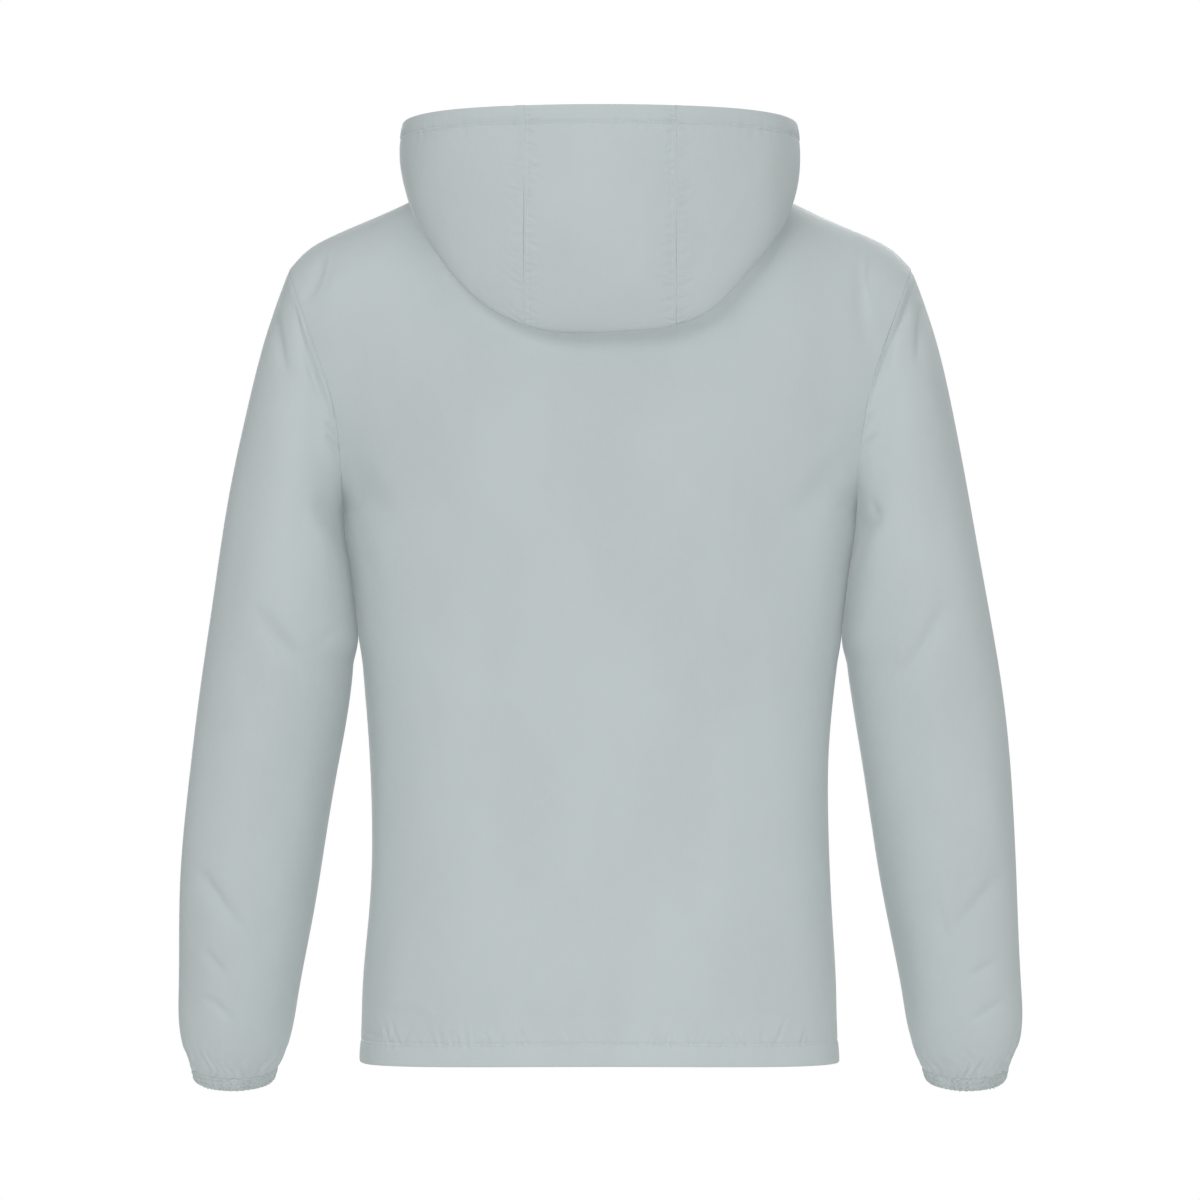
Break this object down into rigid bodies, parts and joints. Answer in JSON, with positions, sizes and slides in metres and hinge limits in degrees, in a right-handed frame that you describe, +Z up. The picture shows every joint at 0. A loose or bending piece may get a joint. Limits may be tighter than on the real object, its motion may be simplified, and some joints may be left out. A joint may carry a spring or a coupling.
{
  "type": "hooded track jacket",
  "caption": "Light hooded zip track jacket, filled out as worn, with the hood let down behind and elastic cuffs.",
  "frame": {"origin": "midway between the two points where the shoulder seams meet the neckline", "axes": "+Z up, -Y out of the front, +X to the wearer's left"},
  "size_m": [0.6788, 0.2731, 0.7812],
  "materials": {
    "back_cloth": "smooth fine woven shell cloth",
    "front_left_cloth": "smooth fine woven shell cloth",
    "front_right_cloth": "smooth fine woven shell cloth",
    "sleeve_left_cloth": "smooth fine woven shell cloth",
    "sleeve_right_cloth": "smooth fine woven shell cloth",
    "cuff_left_elastic": "shell cloth ruched over elastic",
    "cuff_right_elastic": "shell cloth ruched over elastic",
    "hood_centre_cloth": "smooth fine woven shell cloth",
    "hood_side_left_cloth": "smooth fine woven shell cloth",
    "hood_side_right_cloth": "smooth fine woven shell cloth",
    "zip_tape_left_weave": "woven tape with moulded teeth",
    "zip_tape_right_weave": "woven tape with moulded teeth",
    "slider_metal": "painted to match the cloth",
    "pull_metal": "painted to match the cloth"
  },
  "bodies": {
    "jacket": {"back": "back_cloth", "front_left": "front_left_cloth", "front_right": "front_right_cloth", "sleeve_left": "sleeve_left_cloth", "sleeve_right": "sleeve_right_cloth", "cuff_left": "cuff_left_elastic", "cuff_right": "cuff_right_elastic", "hood_centre": "hood_centre_cloth", "hood_side_left": "hood_side_left_cloth", "hood_side_right": "hood_side_right_cloth", "zip_tape_left": "zip_tape_left_weave", "zip_tape_right": "zip_tape_right_weave", "zip_slider": "slider_metal"},
    "pull_tab": {"zip_pull": "pull_metal"}
  },
  "joints": [
    {"name": "pull_swing", "type": "hinge", "parent": "jacket", "child": "pull_tab", "pos_m": [0, -0.09859, -0.04897], "axis": [-1, 0, 0], "range_deg": [-20, 160]}
  ]
}
